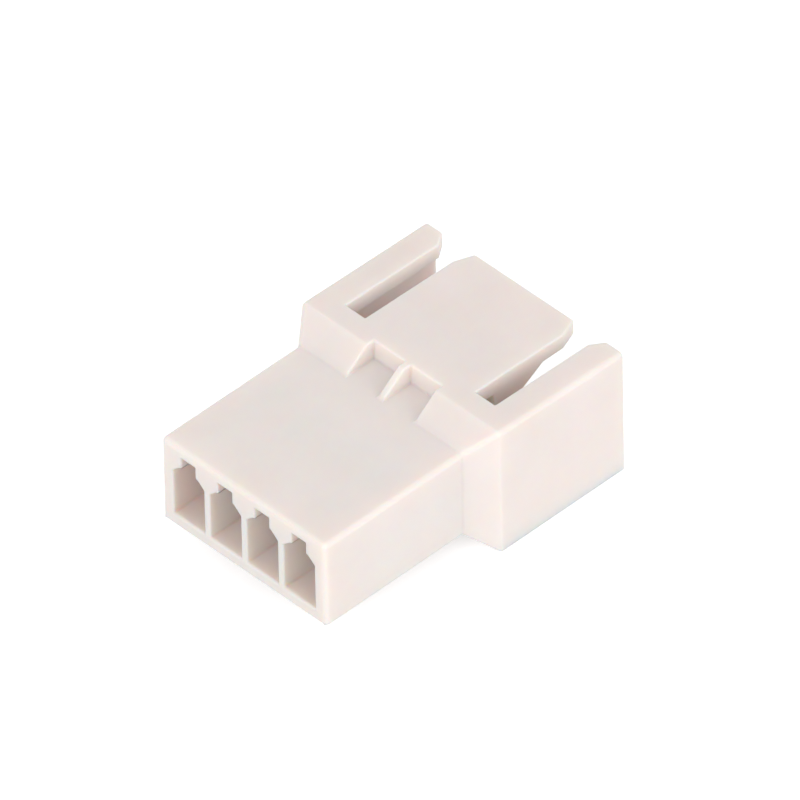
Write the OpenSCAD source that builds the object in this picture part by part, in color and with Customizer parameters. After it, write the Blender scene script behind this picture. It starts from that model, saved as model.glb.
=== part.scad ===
// Crimp connector housing, one moulded piece, with one row of contact cavities.
// X runs from the wire entry to the mating mouth, Y is across the row and +Z is up.
// The origin is the middle of the underside of the whole housing.
// All sizes are in millimetres.

/* [Contact row] */
// Number of contact cavities in the row
circuits = 4; // [3:1:10]
// Distance between neighbouring cavities
pitch = 2.5; // [2.4:0.1:3.5]

/* [Contact cavity] */
// Width of one cavity
cavity_w = 2.1; // [1.7:0.05:2.15]
// Height of one cavity under its two ledges
cavity_h = 3.15; // [2.6:0.05:3.6]
// Depth of a cavity from the wire entry to the contact stop
cavity_l = 10.1; // [9:0.1:10.8]
// Width of the sloped corner beside each ledge
ledge_slope_w = 0.45; // [0.1:0.05:0.5]
// Height of the sloped corner beside each ledge
ledge_slope_h = 0.4; // [0.1:0.05:0.6]
// Width of the key groove in the roof of a cavity
key_w = 0.95; // [0.6:0.05:1.3]
// Height of the key groove
key_h = 0.7; // [0.4:0.05:0.9]
// Start of the bar behind which a contact lance snaps
lance_bar_x = 3.4; // [2.5:0.1:4.5]
// Length of the lance bar
lance_bar_l = 0.9; // [0.5:0.1:1.5]
// Height of the groove that is left under the lance bar
lance_bar_gap = 0.25; // [0.1:0.05:0.3]
// Length of the lance pocket in front of the bar
lance_pocket_l = 2.6; // [1.5:0.1:3.5]
// Width of the window that lets a contact nose through to the mating side
nose_w = 1.4; // [1:0.05:1.6]
// Height of that window
nose_h = 1.6; // [1:0.05:2]
// Height of the window's lower edge over the cavity floor
nose_z = 0.7; // [0.3:0.05:1]
// Bevel round the mating end of the window
nose_bevel = 0.2; // [0.05:0.05:0.3]

/* [Rear body] */
// Length of the rear body up to the shoulder
body_l = 9.1; // [7:0.1:11]
// Wall between the last cavity and the side face
side_wall = 0.75; // [0.5:0.05:1.5]
// Floor under the cavities
body_floor = 0.7; // [0.5:0.05:1.5]
// Roof over the key grooves
body_roof = 0.58; // [0.4:0.02:1.5]

/* [Shoulder] */
// Length of the sloped shoulder between the rear body and the hood
shoulder_l = 1.45; // [0.8:0.05:2]
// Step from the side of the rear body out to the hood, on each side
side_step = 1.15; // [0.6:0.05:1.8]
// Step from the top of the rear body up to the hood
top_step = 1.15; // [0.6:0.05:1.8]
// Step from the underside of the rear body down to the hood
bottom_step = 1.35; // [0.8:0.05:1.8]
// Width of the recesses in the top of the shoulder
recess_w = 2.1; // [1.4:0.05:2.3]
// How far the recesses reach in front of the shoulder
recess_reach = 0.45; // [0.2:0.05:0.8]

/* [Mating hood] */
// Length of the hood in front of the shoulder
hood_l = 8.25; // [6.5:0.05:12]
// How much lower the top of the hood is at the mouth than at the shoulder
hood_drop = 0.15; // [0.05:0.05:0.4]
// Side walls of the hood
hood_wall = 1; // [0.8:0.05:1.1]
// Floor of the hood
hood_floor = 1; // [0.7:0.05:1.5]
// Wall between the shoulder and the socket
socket_back = 1.3; // [1.2:0.05:2]
// Lead-in bevel round the inside of the mouth
mouth_bevel = 0.35; // [0.1:0.05:0.5]

/* [Latch plate] */
// Thickness of the latch plate and of the roof beside it, at the shoulder
plate_t = 1.05; // [0.8:0.05:1.3]
// Width of the slot on each side of the plate
slot_w = 1.3; // [0.8:0.05:1.6]
// Width of the roof strip that stays on each side wall, from the outer face
rail_w = 1.65; // [1.4:0.05:2.2]
// Length of the cut that narrows the tip of the plate
tip_cut_l = 1.1; // [0.4:0.05:1.5]
// Width of that cut on each side
tip_cut_w = 0.4; // [0.1:0.05:0.8]
// Length of the bevel on the slot end of each roof strip
rail_cut_l = 0.75; // [0.2:0.05:1]
// Width of that bevel
rail_cut_w = 0.5; // [0.2:0.05:0.7]
// How far the hook hangs under the plate
hook_h = 1.1; // [0.6:0.05:1.3]
// Distance from the mouth to the start of the hook's ramp
hook_setback = 2.45; // [1.5:0.05:3]
// Length of the hook's ramp
hook_ramp_l = 1.85; // [1:0.05:2.2]
// Length of the flat at the bottom of the hook
hook_flat_l = 1.5; // [0.2:0.1:1.8]

/* [Edges] */
// Radius of the long upper edges, and of the top and side edges at the wire entry
edge_r = 0.25; // [0.15:0.05:0.5]
// Radius of the long lower edges, and of the bottom edge at the wire entry
low_edge_r = 0.1; // [0.05:0.05:0.25]
// Radius of the outer edges at the mouth
mouth_r = 0.1; // [0.05:0.05:0.1]

/* [Hidden] */
// Overshoot that lets a cut run past the face that it opens
cut = 1;
// Facets of a round corner of the outer form, and the angle between rings at its ends
corner_steps = 5;
arc_step = 30;
// Share of an inset by which the corners of a ring get sharper
corner_share = 0.8;
row_w = (circuits - 1) * pitch + cavity_w;
body_w = row_w + 2 * side_wall;
body_h = body_floor + cavity_h + key_h + body_roof;
hood_w = body_w + 2 * side_step;
hood_h = bottom_step + body_h + top_step;
hood_x = body_l + shoulder_l;
total_l = hood_x + hood_l;
cavity_z = bottom_step + body_floor;
body_top_z = bottom_step + body_h;
socket_x = hood_x + socket_back;
socket_w = hood_w - 2 * hood_wall;
socket_top_z = hood_h - plate_t;
plate_w = hood_w - 2 * (rail_w + slot_w);
hook_front_x = total_l - hook_setback;

function cavity_y(i) = (i - (circuits - 1) / 2) * pitch;

// How far a round edge of radius r lies inside its face, at the given depth from the end
function inset(depth, r) = depth < r ? r - sqrt(r * r - (r - depth) * (r - depth)) : 0;

// Points of a quarter circle round [y, z], from the given angle on
function corner(y, z, r, angle) = [
    for (k = [0 : corner_steps])
        let (a = angle + 90 * k / corner_steps) [y + r * cos(a), z + r * sin(a)]
];

// Ring of points round the outer form at x, from z0 up to z1. The insets make it smaller
// near an end with round edges: one at the top and sides and one at the bottom.
function ring(x, width, z0, z1, side_inset = 0, low_inset = 0) =
    let (
        top_r = edge_r - corner_share * side_inset,
        low_r = low_edge_r - corner_share * low_inset,
        top = z1 - side_inset - top_r,
        low = z0 + low_inset + low_r,
        side = width / 2 - side_inset
    ) [
        for (p = concat(
            corner(side - top_r, top, top_r, 0), corner(top_r - side, top, top_r, 90),
            corner(low_r - side, low, low_r, 180), corner(side - low_r, low, low_r, 270)
        )) [x, p[0], p[1]]
    ];

// Runs a section drawn in Y and Z along X, from x0 to x1
module along_x(x0, x1) {
    translate([x0, 0, 0]) rotate([90, 0, 90]) linear_extrude(x1 - x0) children();
}

// Runs a side view drawn in X and Z across Y, centred, over the given width
module across_y(width) {
    translate([0, width / 2, 0]) rotate([90, 0, 0]) linear_extrude(width) children();
}

// Outside of the housing, from ring to ring: round rear end, rear body, sloped shoulder,
// and the hood, whose top falls a little towards its round mouth end
module outer_form() {
    rear_rings = [
        for (a = [0 : arc_step : 90])
            let (depth = edge_r * (1 - cos(a)))
                ring(depth, body_w, bottom_step, body_top_z,
                    inset(depth, edge_r), inset(depth, low_edge_r))
    ];
    mouth_rings = [
        for (a = [90 : -arc_step : 0])
            let (depth = mouth_r * (1 - cos(a)), less = inset(depth, mouth_r))
                ring(total_l - depth, hood_w, 0, hood_h - hood_drop, less, less)
    ];
    rings = concat(
        rear_rings,
        [
            ring(body_l, body_w, bottom_step, body_top_z),
            ring(hood_x, hood_w, 0, hood_h)
        ],
        mouth_rings
    );
    n = len(rings[0]);
    last = n * (len(rings) - 1);
    skin = [
        for (i = [0 : n : last - n], j = [0 : n - 1])
            let (a = i + j, b = i + (j + 1) % n) each [[a, a + n, b + n], [a, b + n, b]]
    ];
    polyhedron(
        points = [for (r = rings) each r],
        faces = concat(
            [[for (j = [0 : n - 1]) j], [for (j = [n - 1 : -1 : 0]) last + j]], skin
        )
    );
}

// Section of one cavity: a box with two sloped upper corners and a key groove on top
module cavity_section(groove_h) {
    polygon([
        [-cavity_w / 2, 0], [cavity_w / 2, 0],
        [cavity_w / 2, cavity_h - ledge_slope_h],
        [cavity_w / 2 - ledge_slope_w, cavity_h],
        [-cavity_w / 2 + ledge_slope_w, cavity_h],
        [-cavity_w / 2, cavity_h - ledge_slope_h]
    ]);
    translate([-key_w / 2, 0]) square([key_w, cavity_h + groove_h]);
}

// One contact cavity with its lance bar, lance pocket and contact stop
module contact_cavity() {
    pocket_x = lance_bar_x + lance_bar_l;
    translate([0, 0, cavity_z]) {
        along_x(-cut, lance_bar_x) cavity_section(key_h);
        along_x(-cut, cavity_l) cavity_section(lance_bar_gap);
        along_x(pocket_x, pocket_x + lance_pocket_l) cavity_section(key_h);
    }
}

// Window from the end of a cavity into the socket
module nose_window() {
    translate([0, 0, cavity_z + nose_z]) {
        along_x(cavity_l - cut, socket_x + cut)
            translate([-nose_w / 2, 0]) square([nose_w, nose_h]);
        intersection() {
            across_y(nose_w + 2 * nose_bevel) polygon([
                [socket_x - nose_bevel, 0], [socket_x, -nose_bevel],
                [socket_x, nose_h + nose_bevel], [socket_x - nose_bevel, nose_h]
            ]);
            linear_extrude(2 * nose_h + 2 * nose_bevel, center = true) polygon([
                [socket_x - nose_bevel, -nose_w / 2], [socket_x, -nose_w / 2 - nose_bevel],
                [socket_x, nose_w / 2 + nose_bevel], [socket_x - nose_bevel, nose_w / 2]
            ]);
        }
    }
}

// Recess in the top of the shoulder, over one cavity
module shoulder_recess() {
    translate([body_l, -recess_w / 2, body_top_z])
        cube([shoulder_l + recess_reach, recess_w, top_step + cut]);
}

// Hook under the latch plate, with its ramp towards the mouth
module hook() {
    flat_x = hook_front_x - hook_ramp_l;
    across_y(plate_w) polygon([
        [hook_front_x, socket_top_z], [flat_x, socket_top_z - hook_h],
        [flat_x - hook_flat_l, socket_top_z - hook_h],
        [flat_x - hook_flat_l, socket_top_z]
    ]);
}

// Space inside the hood
module socket() {
    difference() {
        translate([socket_x, -socket_w / 2, hood_floor])
            cube([total_l - socket_x + cut, socket_w, socket_top_z - hood_floor]);
        hook();
    }
}

// Lead-in round the side walls and the floor of the mouth
module mouth_lead_in() {
    x0 = total_l - mouth_bevel;
    intersection() {
        linear_extrude(socket_top_z) polygon([
            [x0, -socket_w / 2], [total_l, -socket_w / 2 - mouth_bevel],
            [total_l, socket_w / 2 + mouth_bevel], [x0, socket_w / 2]
        ]);
        across_y(hood_w) polygon([
            [x0, hood_floor], [total_l, hood_floor - mouth_bevel],
            [total_l, socket_top_z], [x0, socket_top_z]
        ]);
    }
}

// Slot on the +Y side of the latch plate, with the bevels at its open end
module plate_slot() {
    y0 = plate_w / 2;
    y1 = y0 + slot_w;
    translate([0, 0, socket_top_z - cut]) linear_extrude(plate_t + 2 * cut) polygon([
        [socket_x, y0], [total_l - tip_cut_l, y0], [total_l, y0 - tip_cut_w],
        [total_l + cut, y0 - tip_cut_w], [total_l + cut, y1 + rail_cut_w],
        [total_l, y1 + rail_cut_w], [total_l - rail_cut_l, y1], [socket_x, y1]
    ]);
}

module housing() {
    color("#e9e1da") translate([-total_l / 2, 0, 0]) difference() {
        outer_form();
        for (i = [0 : circuits - 1]) translate([0, cavity_y(i), 0]) {
            contact_cavity();
            nose_window();
        }
        for (i = [1 : circuits - 2]) translate([0, cavity_y(i), 0]) shoulder_recess();
        socket();
        mouth_lead_in();
        plate_slot();
        mirror([0, 1, 0]) plate_slot();
    }
}

housing();
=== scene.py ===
"""Looks of the connector housing: off-white nylon on a pale floor in soft studio light."""
from math import cos, radians, sin

import bpy
from mathutils import Matrix, Vector


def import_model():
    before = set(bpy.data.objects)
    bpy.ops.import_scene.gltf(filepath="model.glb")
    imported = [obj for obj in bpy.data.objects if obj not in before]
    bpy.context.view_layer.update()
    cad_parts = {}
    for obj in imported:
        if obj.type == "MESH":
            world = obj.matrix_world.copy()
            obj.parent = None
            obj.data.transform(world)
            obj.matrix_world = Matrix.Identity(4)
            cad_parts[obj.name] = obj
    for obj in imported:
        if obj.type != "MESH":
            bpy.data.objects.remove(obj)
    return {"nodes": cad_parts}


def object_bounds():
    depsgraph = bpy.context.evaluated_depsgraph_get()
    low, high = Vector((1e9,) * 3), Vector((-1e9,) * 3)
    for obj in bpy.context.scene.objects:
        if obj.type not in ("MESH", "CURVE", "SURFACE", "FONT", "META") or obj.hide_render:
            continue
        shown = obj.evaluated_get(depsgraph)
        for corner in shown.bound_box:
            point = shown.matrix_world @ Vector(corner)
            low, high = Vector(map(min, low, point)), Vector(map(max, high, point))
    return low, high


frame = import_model()
cad_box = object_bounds()
MM = 0.001
WHITE = (1, 1, 1, 1)

# Nylon: noise scales are per metre, so the flow marks are a few millimetres long
FLOW_SCALE = 260
FLOW_DETAIL = 3
FLOW_ROUGHNESS = 0.55
# place on the noise and colour, at the two ends of the flow marks
FLOW_TINTS = ((0.3, (0.80, 0.735, 0.70, 1)), (0.7, (0.83, 0.765, 0.74, 1)))
SATIN_LOW = 0.42
SATIN_HIGH = 0.56
GRAIN_SCALE = 9000
GRAIN_DETAIL = 2
GRAIN_STRENGTH = 0.12
GRAIN_DEPTH = 0.00001
GLOW_RADIUS = (1.0, 0.62, 0.4)
GLOW_SCALE = 0.0011
NYLON_IOR = 1.5

# Edges of the housing's mesh
WELD_DISTANCE = 1e-6
PLANAR_ANGLE = radians(2)
EDGE_ANGLE = radians(34)
EDGE_WIDTH = 0.1 * MM
EDGE_SEGMENTS = 3

# Camera, with what it looks at given from the middle of the housing's box
VIEW_AZIMUTH = radians(-43.75)
VIEW_ELEVATION = radians(42.2)
VIEW_ROLL = radians(-1.16)
VIEW_DISTANCE = 1.351
LENS = 1278
CLIP_START = 0.05
CLIP_END = 10
AIM = Vector((1.36, 0.33, 1.37)) * MM

# Floor, world and lamps
FLOOR_COLOUR = (0.8, 0.8, 0.8, 1)
FLOOR_GLOW = 0.5
FLOOR_REACH = 3.0
FLOOR_GAP = 0.00001
SKY_STRENGTH = 0.75
LAMP_DISTANCE = 0.6
LAMP_SIZE = 0.4
LAMP_TARGET = Vector((0, 0, 0.004))
# name, azimuth, elevation and power
LAMPS = (("key", -75, 25, 1.2), ("fill", 10, 25, 1.0))


def new_material(name):
    material = bpy.data.materials.new(name)
    material.use_nodes = True
    material.node_tree.nodes.clear()
    return material, material.node_tree.nodes, material.node_tree.links


def math_node(nodes, operation):
    node = nodes.new("ShaderNodeMath")
    node.operation = operation
    return node


def away_vector(azimuth, elevation):
    """From the object towards a camera or lamp at these angles."""
    return Vector((sin(azimuth) * cos(elevation), -cos(azimuth) * cos(elevation), sin(elevation)))


def nylon_material():
    material, nodes, links = new_material("nylon")
    out = nodes.new("ShaderNodeOutputMaterial")
    shader = nodes.new("ShaderNodeBsdfPrincipled")
    links.new(shader.outputs["BSDF"], out.inputs["Surface"])
    place = nodes.new("ShaderNodeTexCoord")

    # slow flow marks of the moulding, in the colour and the satin
    flow = nodes.new("ShaderNodeTexNoise")
    flow.inputs["Scale"].default_value = FLOW_SCALE
    flow.inputs["Detail"].default_value = FLOW_DETAIL
    flow.inputs["Roughness"].default_value = FLOW_ROUGHNESS
    links.new(place.outputs["Object"], flow.inputs["Vector"])
    tint = nodes.new("ShaderNodeValToRGB")
    for stop, (position, colour) in zip(tint.color_ramp.elements, FLOW_TINTS):
        stop.position = position
        stop.color = colour
    links.new(flow.outputs["Fac"], tint.inputs["Fac"])
    links.new(tint.outputs["Color"], shader.inputs["Base Color"])
    satin = nodes.new("ShaderNodeMapRange")
    satin.inputs["To Min"].default_value = SATIN_LOW
    satin.inputs["To Max"].default_value = SATIN_HIGH
    links.new(flow.outputs["Fac"], satin.inputs["Value"])
    links.new(satin.outputs["Result"], shader.inputs["Roughness"])

    # fine grain of the mould's surface
    grain = nodes.new("ShaderNodeTexNoise")
    grain.inputs["Scale"].default_value = GRAIN_SCALE
    grain.inputs["Detail"].default_value = GRAIN_DETAIL
    links.new(place.outputs["Object"], grain.inputs["Vector"])
    bump = nodes.new("ShaderNodeBump")
    bump.inputs["Strength"].default_value = GRAIN_STRENGTH
    bump.inputs["Distance"].default_value = GRAIN_DEPTH
    links.new(grain.outputs["Fac"], bump.inputs["Height"])
    links.new(bump.outputs["Normal"], shader.inputs["Normal"])

    shader.inputs["Subsurface Weight"].default_value = 1
    shader.inputs["Subsurface Radius"].default_value = GLOW_RADIUS
    shader.inputs["Subsurface Scale"].default_value = GLOW_SCALE
    shader.inputs["IOR"].default_value = NYLON_IOR
    return material


def dress_housing():
    """Nylon on the housing, and small round edges where faces meet at an angle."""
    housing = frame["nodes"]["housing"]
    housing.data.materials.clear()
    housing.data.materials.append(nylon_material())
    weld = housing.modifiers.new("weld", "WELD")
    weld.merge_threshold = WELD_DISTANCE
    planar = housing.modifiers.new("planar", "DECIMATE")
    planar.decimate_type = "DISSOLVE"
    planar.angle_limit = PLANAR_ANGLE
    soft_edges = housing.modifiers.new("soft_edges", "BEVEL")
    soft_edges.limit_method = "ANGLE"
    soft_edges.angle_limit = EDGE_ANGLE
    soft_edges.width = EDGE_WIDTH
    soft_edges.segments = EDGE_SEGMENTS
    soft_edges.use_clamp_overlap = False
    soft_edges.harden_normals = True


def camera():
    right = Vector((cos(VIEW_AZIMUTH), sin(VIEW_AZIMUTH), 0))
    back = away_vector(VIEW_AZIMUTH, VIEW_ELEVATION)
    up = back.cross(right)
    turned_right = right * cos(VIEW_ROLL) + up * sin(VIEW_ROLL)
    turned_up = up * cos(VIEW_ROLL) - right * sin(VIEW_ROLL)
    data = bpy.data.cameras.new("camera")
    data.lens = LENS
    data.clip_start = CLIP_START
    data.clip_end = CLIP_END
    obj = bpy.data.objects.new("camera", data)
    bpy.context.scene.collection.objects.link(obj)
    middle = (Vector(cad_box[0]) + Vector(cad_box[1])) / 2
    place = Matrix((turned_right, turned_up, back)).transposed().to_4x4()
    place.translation = middle + AIM + back * VIEW_DISTANCE
    obj.matrix_world = place
    bpy.context.scene.camera = obj


def floor_material():
    """Pale paper, with a glow that only camera, glossy and transmission rays meet."""
    material, nodes, links = new_material("floor")
    out = nodes.new("ShaderNodeOutputMaterial")
    paper = nodes.new("ShaderNodeBsdfDiffuse")
    paper.inputs["Color"].default_value = FLOOR_COLOUR
    glow = nodes.new("ShaderNodeEmission")
    glow.inputs["Color"].default_value = WHITE
    both = nodes.new("ShaderNodeAddShader")
    rays = nodes.new("ShaderNodeLightPath")
    direct = math_node(nodes, "ADD")
    all_rays = math_node(nodes, "ADD")
    level = math_node(nodes, "MULTIPLY")
    level.inputs[1].default_value = FLOOR_GLOW
    links.new(rays.outputs["Is Camera Ray"], direct.inputs[0])
    links.new(rays.outputs["Is Glossy Ray"], direct.inputs[1])
    links.new(direct.outputs[0], all_rays.inputs[0])
    links.new(rays.outputs["Is Transmission Ray"], all_rays.inputs[1])
    links.new(all_rays.outputs[0], level.inputs[0])
    links.new(level.outputs[0], glow.inputs["Strength"])
    links.new(paper.outputs[0], both.inputs[0])
    links.new(glow.outputs[0], both.inputs[1])
    links.new(both.outputs[0], out.inputs["Surface"])
    return material


def floor():
    reach = FLOOR_REACH
    corners = [(-reach, -reach, 0), (reach, -reach, 0), (reach, reach, 0), (-reach, reach, 0)]
    mesh = bpy.data.meshes.new("floor")
    mesh.from_pydata(corners, [], [(0, 1, 2, 3)])
    mesh.materials.append(floor_material())
    obj = bpy.data.objects.new("floor", mesh)
    obj.location.z = cad_box[0][2] - FLOOR_GAP
    bpy.context.scene.collection.objects.link(obj)


def world():
    sky = bpy.data.worlds.new("studio")
    bpy.context.scene.world = sky
    sky.use_nodes = True
    nodes = sky.node_tree.nodes
    nodes.clear()
    out = nodes.new("ShaderNodeOutputWorld")
    shade = nodes.new("ShaderNodeBackground")
    shade.inputs["Color"].default_value = WHITE
    shade.inputs["Strength"].default_value = SKY_STRENGTH
    sky.node_tree.links.new(shade.outputs[0], out.inputs["Surface"])


def lamp(name, azimuth, elevation, power):
    data = bpy.data.lights.new(name, "AREA")
    data.shape = "DISK"
    data.size = LAMP_SIZE
    data.energy = power
    obj = bpy.data.objects.new(name, data)
    bpy.context.scene.collection.objects.link(obj)
    away = away_vector(radians(azimuth), radians(elevation))
    obj.location = LAMP_TARGET + away * LAMP_DISTANCE
    obj.rotation_euler = away.to_track_quat("Z", "Y").to_euler()


dress_housing()
camera()
floor()
world()
for settings in LAMPS:
    lamp(*settings)

bpy.context.scene.view_settings.view_transform = "Standard"
